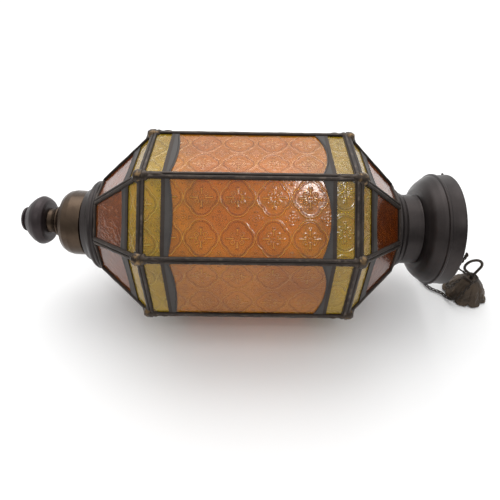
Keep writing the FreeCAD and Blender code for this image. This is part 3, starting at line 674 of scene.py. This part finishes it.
def patinated(name, dark, mid, rubbed, metallic=0.75, rough=(0.34, 0.62), grain=900.0, worn=0.85):
    """Dark patinated metal: blotches of two browns, fine grain, and rubbed metal where worn."""
    f = Finish(name, metallic=metallic)
    blotch = f.noise(38.0, 5.0, 0.6)
    speck = f.noise(grain, 2.0, 0.6)
    colour = f.ramp(blotch, (0.30, dark), (0.68, mid))
    colour = f.blend(f.grey(speck, (0.45, 0.0), (0.80, 0.35)), colour, mid)
    patches = f.grey(f.noise(160.0, 3.0), (0.42, 0.15), (0.66, 1.0))
    edge = f.combine(f.wear_and_relief_light(), patches, "MULTIPLY")
    colour = f.blend(f.grey(edge, (0.25, 0.0), (0.75, worn)), colour, rubbed)
    f.bump(f.combine(blotch, f.combine(speck, 0.25, "MULTIPLY")), 0.35, 0.0006)
    return f.finish(colour, f.grey(blotch, (0.3, rough[0]), (0.7, rough[1])))


def spun(name, dark, light, axis_turn, metallic=0.85, rough=(0.28, 0.5), scratch=0.5):
    """Spun metal: fine rings about its axis from noise squeezed along that axis, under blotches."""
    f = Finish(name, metallic=metallic)
    rings = f.noise(1.0, 3.0, 0.7, f.stretched((1400.0, 14.0, 14.0), axis_turn))
    blotch = f.noise(24.0, 5.0, 0.6, distortion=0.4)
    speck = f.noise(420.0, 3.0, 0.6)
    colour = f.ramp(blotch, (0.28, dark), (0.72, light))
    colour = f.blend(f.grey(rings, (0.35, 0.0), (0.75, scratch)), colour, light)
    colour = f.blend(f.grey(speck, (0.70, 0.0), (0.78, 0.5)), colour, (0.30, 0.26, 0.22))
    f.bump(rings, 0.12, 0.0004)
    return f.finish(colour, f.grey(blotch, (0.3, rough[0]), (0.7, rough[1])))


def pressed_glass(name, shadow, deep, clear, painted_highlight, roughness=0.14, through=0.66, painted_relief_strength=0.75,
                  seeded=0.02, skin=0.1):
    """Coloured pressed glass: cloudy body colour, with painted shadow at the feet of the raised lines
    and a painted highlight on their tops, small seeds and a smooth clear skin."""
    f = Finish(name, roughness=roughness, IOR=1.5, Coat_Weight=skin, Coat_Roughness=0.15)
    f.shader.inputs["Transmission Weight"].default_value = through
    cloud = f.noise(14.0, 3.0, 0.5)
    colour = f.ramp(cloud, (0.30, deep), (0.70, clear))
    # painted shadow: the shadow colour where the relief height is middling, along the feet of the
    # raised lines
    colour = f.blend(f.grey(f.wear_and_relief_light(), (0.14, 0.0), (0.36, painted_relief_strength), (0.60, 0.0)), colour, shadow)
    # painted highlight: the bright colour on the tops of the raised lines
    colour = f.blend(f.grey(f.wear_and_relief_light(), (0.55, 0.0), (0.95, painted_relief_strength)), colour, painted_highlight)
    seeds = f.noise(650.0, 1.0, 0.5)
    colour = f.blend(f.grey(seeds, (0.74, 0.0), (0.78, 0.55)), colour, deep)
    f.bump(f.noise(220.0, 2.0, 0.5), seeded, 0.0006)
    return f.finish(colour)


came_metal = patinated("came_patina", (0.026, 0.020, 0.017), (0.062, 0.050, 0.043),
                       (0.20, 0.16, 0.13), worn=0.45)
trim_metal = patinated("trim_lead", (0.045, 0.040, 0.038), (0.085, 0.078, 0.073),
                       (0.22, 0.20, 0.175), metallic=0.55, rough=(0.45, 0.7), worn=0.6)
claw_metal = patinated("claw_bronze", (0.026, 0.020, 0.016), (0.060, 0.045, 0.034),
                       (0.34, 0.21, 0.09), rough=(0.26, 0.42), worn=0.55)
leaf_metal = patinated("leaf_bronze", (0.022, 0.016, 0.012), (0.11, 0.080, 0.056),
                       (0.26, 0.19, 0.12), metallic=0.6, rough=(0.42, 0.7), grain=500.0)
wire_metal = patinated("blackened_wire", (0.022, 0.018, 0.015), (0.060, 0.047, 0.037),
                       (0.22, 0.17, 0.12))
spun_iron = spun("spun_iron", (0.020, 0.016, 0.016), (0.050, 0.041, 0.039), (0.0, 0.0, 0.0),
                 metallic=0.7, rough=(0.32, 0.5), scratch=0.4)
knob_iron = spun("knob_iron", (0.024, 0.017, 0.018), (0.052, 0.040, 0.041), (0.0, 0.037, 0.037),
                 metallic=0.6, rough=(0.34, 0.5))
cup_brass = spun("cup_brass", (0.036, 0.024, 0.018), (0.090, 0.062, 0.042), (0.0, 0.037, 0.037),
                 metallic=0.9, rough=(0.22, 0.36))
# Each glass gets shadow, deep, clear and highlight colours. The first and last are painted shadow and
# painted highlight along the relief.
amber_glass = pressed_glass("amber_glass", (0.16, 0.036, 0.003), (0.58, 0.185, 0.006),
                            (0.90, 0.36, 0.016), (1.00, 0.62, 0.10))
yellow_glass = pressed_glass("yellow_glass", (0.22, 0.12, 0.006), (0.50, 0.30, 0.012),
                             (0.84, 0.56, 0.030), (0.96, 0.78, 0.16))
red_glass = pressed_glass("red_glass", (0.08, 0.014, 0.003), (0.20, 0.038, 0.004),
                          (0.56, 0.150, 0.014), (0.60, 0.20, 0.03), roughness=0.08, painted_relief_strength=0.5)


def waxen():
    """Ivory wax, cloudy and slightly translucent, with fine pits."""
    f = Finish("candle_wax", roughness=0.42)
    f.shader.inputs["Subsurface Weight"].default_value = 0.25
    f.shader.inputs["Subsurface Radius"].default_value = (0.006, 0.004, 0.002)
    colour = f.ramp(f.noise(60.0, 4.0), (0.3, (0.74, 0.66, 0.48)), (0.7, (0.86, 0.80, 0.64)))
    f.bump(f.noise(300.0, 3.0), 0.15, 0.0004)
    return f.finish(colour)


def cotton():
    """Braided cotton: crossed waves round the wick, charred at its tip."""
    f = Finish("wick_cotton", roughness=0.9)
    weave = f.node("ShaderNodeTexWave", {"Vector": f.place, "Scale": 420.0, "Distortion": 3.0})
    colour = f.ramp(weave.outputs["Fac"], (0.2, (0.42, 0.38, 0.32)), (0.8, (0.78, 0.74, 0.66)))
    colour = f.blend(f.grey(f.wear_and_relief_light(), (0.5, 0.0), (0.9, 1.0)), colour, (0.02, 0.018, 0.016))
    f.bump(weave.outputs["Fac"], 0.5, 0.0004)
    return f.finish(colour)


candle_wax = waxen()
wick_cotton = cotton()


# ---- camera, light and floor ----
def view_from(place, back, right):
    """Camera at a place, looking against back, with right to its right."""
    lens = bpy.data.cameras.new("camera")
    lens.sensor_width = 36.0
    lens.lens = 31.08
    lens.clip_start = 0.01
    camera = bpy.data.objects.new("camera", lens)
    back = Vector(back).normalized()
    right = Vector(right).normalized()
    over = back.cross(right)
    turn = Matrix((right, over, back)).transposed().to_4x4()
    camera.matrix_world = Matrix.Translation(Vector(place)) @ turn
    bpy.context.scene.collection.objects.link(camera)
    bpy.context.scene.camera = camera


def softbox(name, place, aim, width, height, watts, round_=False):
    """Area light at a place, turned to its aim."""
    light = bpy.data.lights.new(name, "AREA")
    light.shape = "ELLIPSE" if round_ else "RECTANGLE"
    light.size = width
    light.size_y = height
    light.energy = watts
    lamp = bpy.data.objects.new(name, light)
    lamp.location = place
    lamp.rotation_euler = (Vector(aim) - Vector(place)).to_track_quat("-Z", "Y").to_euler()
    bpy.context.scene.collection.objects.link(lamp)


def studio():
    """Camera, two lamps, a surround that is paler overhead and behind, and the floor."""
    view_from((0.018845, -0.413795, 0.462789), (-0.004427, -0.724760, 0.688987),
              (0.999895, 0.006277, 0.013028))
    softbox("overhead", (-0.15, 0.75, 1.4), (0.02, 0.0, 0.05), 1.5, 1.1, 11.0)
    softbox("round_lamp", (0.2575, -0.7204, 1.1904), (0.084, -0.048, 0.212), 0.05, 0.05, 0.7,
            round_=True)
    world = bpy.data.worlds.new("studio")
    world.use_nodes = True
    tree = world.node_tree
    around = tree.nodes.new("ShaderNodeTexCoord").outputs["Generated"]
    facing = tree.nodes.new("ShaderNodeVectorMath")
    facing.operation = "DOT_PRODUCT"
    facing.inputs[1].default_value = (0.0, 0.50, 0.87)
    shade = tree.nodes.new("ShaderNodeValToRGB")
    for element, (place, grey) in zip(shade.color_ramp.elements, ((0.05, 0.30), (0.70, 1.0))):
        element.position = place
        element.color = (grey, grey, grey, 1.0)
    tree.links.new(around, facing.inputs[0])
    tree.links.new(facing.outputs["Value"], shade.inputs["Fac"])
    tree.links.new(shade.outputs["Color"], tree.nodes["Background"].inputs["Color"])
    tree.nodes["Background"].inputs["Strength"].default_value = 1.25
    bpy.context.scene.world = world
    bpy.context.scene.view_settings.view_transform = "Standard"
    f = Finish("pale_floor", roughness=0.85)
    f.finish(f.ramp(f.noise(3.0, 2.0), (0.2, (0.93, 0.93, 0.93)), (0.8, (0.95, 0.95, 0.95))))
    mesh = bpy.data.meshes.new("floor")
    mesh.from_pydata([(-4, -4, 0), (4, -4, 0), (4, 4, 0), (-4, 4, 0)], [], [(0, 1, 2, 3)])
    mesh.materials.append(f.material)
    floor = bpy.data.objects.new("floor", mesh)
    bpy.context.scene.collection.objects.link(floor)


# ---- building ----
def chains():
    """The three chains with their loops on the rim, the ring that gathers them, and the leaf cap.
    A route is the root's place round the rim in degrees, the first drop from it, the points from
    the rim's plane, the end from the cap's middle, and the length in metres."""
    rim = HEAD_X + TUBE_FREE + CROWN_DEPTH + MIDDLE_X
    cap_x, cap_y = rim + 65.0, -8.0
    routes = {
        "chain_front": (-105.0, (2.4, 5.0, -13.0),
                        [(8.5, -50.0, 94.0), (11.5, -42.0, 70.0), (17.5, -34.0, 44.0),
                         (29.0, -27.0, 29.0), (42.0, -15.0, 28.5)], (-13.0, -1.5, 32.3), 0.1385),
        "chain_low": (14.7, (5.4, 1.7, -11.0),
                      [(13.5, 25.5, 19.0), (11.5, 19.0, 3.6), (11.5, 4.0, 2.6), (20.5, -6.5, 2.6),
                       (33.0, -11.0, 2.6), (36.5, -25.0, 3.2), (45.0, -32.5, 14.0),
                       (52.5, -24.5, 24.5)], (-4.0, -12.0, 32.8), 0.1395),
        "chain_back": (134.7, (7.4, -0.4, -10.5),
                       [(16.5, 42.0, 118.0), (20.5, 38.0, 84.0), (28.0, 30.0, 52.0),
                        (41.0, 16.0, 34.0)], (-9.0, 9.0, 32.9), 0.1567),
    }
    rim_loops = Shape()
    shackles = Shape()
    t = full_turn(64)
    ring = np.stack([cap_x + GATHER_R * np.cos(t), cap_y + GATHER_R * np.sin(t),
                     np.full(len(t), GATHER_Z)], -1)
    rod(shackles, ring, 1.3, closed=True, reference=np.array([0.0, 0.0, 1.0]))
    for name, (degrees, fall, between, last, length) in routes.items():
        turn = math.radians(degrees)
        first = np.array([rim + 3.1, EYELET_R * math.sin(turn), AXIS_Z - EYELET_R * math.cos(turn)])
        points = [first, first + np.array(fall)]
        points += [np.array([rim + x, y, z]) for x, y, z in between]
        points.append(np.array([cap_x + last[0], cap_y + last[1], last[2]]))
        line = spline_points(name, points)
        shape = Shape()
        links_along(shape, line)
        piece = shape.piece(name + "_links", wire_metal, "lantern", "chain_iron", [name])
        heading = unit(points[1] - points[0])
        radial = np.array([0.0, math.sin(turn), -math.cos(turn)])
        across = unit(np.cross(heading, radial))
        link(rim_loops, first - heading * 2.2, heading, np.cross(across, heading), 6.4, 5.2, 0.9)
        outward = unit(np.array([points[-1][0] - cap_x, points[-1][1] - cap_y, 0.0]))
        seat = np.array([cap_x, cap_y, GATHER_Z]) + outward * GATHER_R
        reach = seat - points[-1]
        span = float(np.linalg.norm(reach))
        reach /= span
        across = unit(np.cross(reach, np.array([0.3, 0.1, 1.0])))
        link(shackles, (seat + points[-1]) / 2, reach, across, span + 3.4, 5.0, 0.9)
    rim_loops.piece("rim_loops", wire_metal, "lantern", "chain_iron", ["rim_eyelets"])
    ring_piece = shackles.piece("gather_ring_wire", wire_metal, "lantern", "chain_iron",
                                ["gather_ring"])
    cast = Shape()
    leaf_cap_surface(cast, (cap_x, cap_y))
    cast_piece = cast.piece("leaf_cap_casting", leaf_metal, "lantern", "leaf_bronze", ["leaf_cap"])
    eye(cap_x, cap_y)


def eye(cap_x, cap_y):
    """Wire eye: a line up one side, round the bend and down the other, leaning back, with a few
    turns of wire round its foot and a stem through the cap to a headed end."""
    lean = math.radians(16.0)
    wire = 1.8
    spread = math.acos(EYE_R / EYE_HEIGHT)
    start = -math.pi / 2 - spread
    angles = np.linspace(start, start - (2 * math.pi - 2 * spread), 60)
    arc = np.stack([EYE_R * np.cos(angles), np.zeros(len(angles)),
                    EYE_HEIGHT + EYE_R * np.sin(angles)], -1)
    leg = np.linspace(0.0, 1.0, 16)[:-1, None]
    down = np.linspace(0.0, 1.0, 16)[1:, None]
    foot = np.zeros(3)
    path = np.concatenate([foot + (arc[0] - foot) * leg, arc, arc[-1] + (foot - arc[-1]) * down])
    c, s = math.cos(lean), math.sin(lean)
    x = path[:, 0] * c - path[:, 2] * s
    z = path[:, 0] * s + path[:, 2] * c
    place = np.stack([cap_x + x, cap_y + path[:, 1], EYE_FOOT_Z + z], -1)
    shape = Shape()
    rod(shape, place, wire, facets=16, reference=np.array([0.0, 1.0, 0.0]), wear_and_relief_light=0.25)
    stem = np.array([[cap_x, cap_y, z] for z in np.linspace(22.4, 35.0, 14)])
    rod(shape, stem, wire, facets=16, reference=np.array([0.0, 1.0, 0.0]))
    turns = np.linspace(0.0, 3 * 2 * math.pi, 90)
    coil = np.stack([cap_x + 2.1 * np.cos(turns), cap_y + 2.1 * np.sin(turns),
                     31.0 + turns / (2 * math.pi) * 1.3], -1)
    rod(shape, coil, 0.65, facets=8, reference=np.array([0.0, 0.0, 1.0]))
    shape.piece("eye_wire", wire_metal, "eye", "chain_iron", ["hanging_eye"])


def glazing():
    """Every pane: eight amber ones, each its own piece, and six rings of eight smaller ones."""
    for side in range(SIDES):
        shape = Shape()
        glass_pane(shape, BODY, side, AMBER, medallions, 10 + side, shift=(0.3, 30.5))
        name = "amber_pane_%d" % (side + 1)
        shape.piece("amber_pressed_%d" % (side + 1), amber_glass, "lantern", "amber_glass", [name])
    yellow = (medallions, yellow_glass, "yellow_glass")
    red = (hammered, red_glass, "red_glass")
    panels = [
        ("lower_yellow_pressed", "lower_yellow_panes", BODY, LOWER_YELLOW, yellow, (9.0, 4.0)),
        ("upper_yellow_pressed", "upper_yellow_panes", BODY, UPPER_YELLOW, yellow, (24.0, 17.0)),
        ("lower_taper_yellow_pressed", "lower_taper_yellow_panes", LOWER, TAPER_YELLOW, yellow,
         (13.0, 9.0)),
        ("upper_taper_yellow_pressed", "upper_taper_yellow_panes", UPPER, TAPER_YELLOW, yellow,
         (3.0, 21.0)),
        ("lower_red_hammered", "lower_taper_red_panes", LOWER, LOWER_RED, red, (0.0, 0.0)),
        ("upper_red_hammered", "upper_taper_red_panes", UPPER, UPPER_RED, red, (0.0, 0.0)),
    ]
    for number, (name, node, stage, window, (pattern, glass, slot), shift) in enumerate(panels):
        shape = Shape()
        for side in range(SIDES):
            moved = (shift[0] + 5.0 * side, shift[1] + 3.0 * side)
            glass_pane(shape, stage, side, window, pattern, 40 + 10 * number + side, moved)
        shape.piece(name, glass, "lantern", slot, [node])


def metalwork():
    """Came bars, beads along the trims, and the claws."""
    bars = Shape()
    for side in range(SIDES):
        came_bars(bars, BODY, side, [(1.9, 3.6), (BODY.length - 2.6, 4.4)])
        came_bars(bars, LOWER, side, [(2.6, 4.6), (LOWER.length - 2.2, 3.6)])
        came_bars(bars, UPPER, side, [(2.6, 4.6), (UPPER.length - 2.2, 3.6)])
    bars.piece("came_bars", came_metal, "lantern", "dark_came")
    beads = Shape()
    for side in range(SIDES):
        bead_row(beads, BODY, side, bowed(BODY, AMBER[0], 4.3, 8.1, 1.6), 34)
        bead_row(beads, BODY, side, bowed(BODY, AMBER[1], -10.2, -1.6, -1.6), 34)
        bead_row(beads, LOWER, side, bowed(LOWER, LOWER_RED[0], 7.5, 6.0, 1.4), 22)
        bead_row(beads, UPPER, side, bowed(UPPER, UPPER_RED[0], 7.5, 6.0, 1.4), 22)
    beads.piece("trim_beads", trim_metal, "lantern", "trim_lead")
    for sign, node in ((-1, "lower_claws"), (1, "upper_claws")):
        claws = Shape()
        for side in range(SIDES):
            claw(claws, sign, side)
        claws.piece(node + "_cast", claw_metal, "lantern", "cast_claw", [node])


def turned_pieces():
    """Profiles (x, r, fillet) of the foot collar, neck collar, tube and crown."""
    z = FOOT_X
    mouth = z - 19.5
    lathe("foot_collar", "bottom_collar", spun_iron, "lantern", "black_iron", [
        (z + 5.0, 38.5, 0.3), (z + 5.0, 45.4, 0.3), (z, 45.4, 0.2), (z, 54.4, 0.8),
        (z - 2.0, 55.5, 1.5), (z - 4.2, 54.0, 0.5), (z - 6.4, 54.9, 1.5), (z - 8.8, 53.3, 0.6),
        (z - 9.6, 51.2, 1.0), (z - 13.0, 47.0, 9.0), (mouth, 43.4, 0.9), (mouth, 41.6, 0.9),
        (mouth + 0.6, 38.5, 0.4)])
    z = HEAD_X
    lathe("neck_collar_spun", "neck_collar", spun_iron, "lantern", "black_iron", [
        (z, 43.05, 0.1), (z, 51.5, 0.6), (z + 2.6, 51.5, 0.9), (z + 4.8, 49.4, 0.5),
        (z + 6.2, 46.8, 1.6), (z + 9.6, 45.8, 1.6), (z + 12.8, 44.0, 0.4), (z + 12.8, 43.05, 0.1)])
    end = z + TUBE_FREE
    lathe("neck_tube_spun", "neck_tube", spun_iron, "lantern", "black_iron", [
        (z - 4.0, 41.8, 0.1), (z - 4.0, 43.0, 0.2), (z + 13.0, 43.0, 0.0), (end - 1.6, 43.05, 0.3),
        (end - 0.9, 43.5, 0.5), (end, 43.3, 0.5), (end, 41.8, 0.2)])
    lathe("crown_spun", "crown", spun_iron, "lantern", "black_iron", [
        (end - CROWN_ENTRY, 41.6, 0.2), (end + 0.2, 41.6, 0.4), (end + 1.2, 50.0, 8.0),
        (end + 5.4, 59.0, 14.0), (end + 14.0, 65.8, 14.0), (end + 17.2, 66.9, 0.4),
        (end + 18.0, 68.9, 0.5), (end + 20.4, 68.9, 0.8), (end + 21.6, 67.4, 0.4),
        (end + 34.6, 67.9, 0.0), (end + 35.4, 68.3, 0.5), (end + CROWN_DEPTH, 68.2, 0.6),
        (end + CROWN_DEPTH, 66.8, 0.5), (end + 21.6, 66.0, 1.0), (end + 15.0, 64.6, 12.0),
        (end + 7.0, 58.0, 13.0), (end + 2.8, 49.4, 7.0), (end + 1.6, 40.4, 0.6),
        (end - CROWN_ENTRY, 40.4, 0.2)], steps=8)


def cup_and_finial():
    """Profiles (x, r, fillet) of the loose cup and all that it carries, and the braided wick."""
    foot = CUP_FOOT_X
    lathe("cup_spun", "bottom_cup", cup_brass, "cup", "aged_brass", [
        (foot, STUD_BORE_R, 0.1), (foot, 18.4, 0.6), (foot + 1.6, 19.2, 0.6),
        (foot + 3.2, 19.2, 0.8), (foot + 8.0, 26.2, 2.0), (foot + 12.4, 33.0, 0.5),
        (foot + 12.7, 35.5, 0.7), (foot + 17.5, 38.7, 4.0), (foot + 24.0, 40.2, 6.0),
        (CUP_MOUTH_X - 0.8, 39.9, 0.4), (CUP_MOUTH_X, 39.6, 0.4), (CUP_MOUTH_X, 38.6, 0.2),
        (foot + 27.0, 38.9, 8.0), (foot + 19.8, 37.3, 6.0), (foot + 14.0, 34.0, 0.5),
        (foot + 13.6, 31.4, 0.5), (foot + 8.8, 24.6, 2.0), (CUP_FLOOR_X, 17.5, 0.6),
        (CUP_FLOOR_X, STUD_BORE_R, 0.1)], cup_axis, steps=8)
    low = foot - 10.4
    lathe("finial_neck_turned", "finial_neck", cup_brass, "cup", "aged_brass", [
        (low, STUD_BORE_R, 0.1), (low, 15.2, 0.4), (low + 1.0, 15.3, 0.6), (low + 5.2, 14.4, 14.0),
        (foot - 1.0, 15.3, 0.6), (foot, 15.2, 0.4), (foot, STUD_BORE_R, 0.1)], cup_axis)
    back = low - 0.1
    front = back - 27.0
    lathe("knob_turned", "finial_knob", knob_iron, "knob", "black_iron", [
        (front, 3.06, 0.1), (front, 13.8, 0.5), (front + 6.0, 21.8, 9.0),
        (front + 12.0, 27.2, 9.0), (front + 18.2, 30.5, 5.0), (front + 23.0, 28.4, 5.0),
        (back - 0.6, 25.8, 2.0), (back, 22.0, 0.6), (back, 3.06, 0.1)], cup_axis, steps=9)
    lathe("button_turned", "finial_button", knob_iron, "knob", "black_iron", [
        (front, 0.0, 0.0), (front, 13.0, 0.3), (front - 1.4, 15.1, 0.9), (front - 3.5, 14.6, 0.9),
        (front - 4.9, 8.5, 9.0), (front - 5.4, 0.0, 0.0)], cup_axis)
    lathe("drip_pan_spun", "drip_pan", cup_brass, "cup", "aged_brass", [
        (PAN_X, 12.55, 0.1), (PAN_X, 26.0, 1.5), (PAN_X + 4.0, 32.0, 0.5), (PAN_X + 4.6, 31.6, 0.3),
        (PAN_X + 1.1, 25.4, 1.5), (PAN_X + 1.0, 12.55, 0.1)], cup_axis)
    low = CANDLE_FOOT_X
    top = low + CANDLE_LENGTH
    lathe("candle_dipped", "candle", candle_wax, "candle_body", "wax", [
        (low, 0.0, 0.0), (low, CANDLE_R, 0.6), (low + 40.0, CANDLE_R, 0.0),
        (top - 2.4, CANDLE_R, 1.2), (top, 8.8, 1.6), (top - 1.6, 3.0, 2.0),
        (top - 1.8, 0.0, 0.0)], cup_axis, segments=64)
    braid = Shape()
    t = np.linspace(0.0, 1.0, 40)
    for strand in range(3):
        turn = 2 * math.pi * (4 * t + strand / 3)
        x = top - 2.0 + 13.9 * t
        path = cup_axis(x, np.full(len(t), 0.45), turn)
        rod(braid, path, 0.42, facets=8, wear_and_relief_light=np.repeat(t, 8), reference=np.array([0.3, 0.9, 0.3]))
    braid.piece("wick_braided", wick_cotton, "candle_body", "cotton", ["wick"])


def carried_over():
    """Finishes of the CAD nodes that stay in view."""
    finishes = {
        "body_frame": came_metal, "lower_taper_frames": came_metal,
        "upper_taper_frames": came_metal, "hill_trims": trim_metal, "arch_trims": trim_metal,
        "lower_taper_trims": trim_metal, "upper_taper_trims": trim_metal,
        "cup_sleeve": cup_brass, "candle_socket": cup_brass, "stud_nut": wire_metal,
        "finial_stud": wire_metal, "eye_washer": wire_metal,
    }
    for name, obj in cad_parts.items():
        for start, material in finishes.items():
            if name.startswith(start):
                obj.data.materials.clear()
                obj.data.materials.append(material)


studio()
chains()
glazing()
metalwork()
turned_pieces()
cup_and_finial()
carried_over()
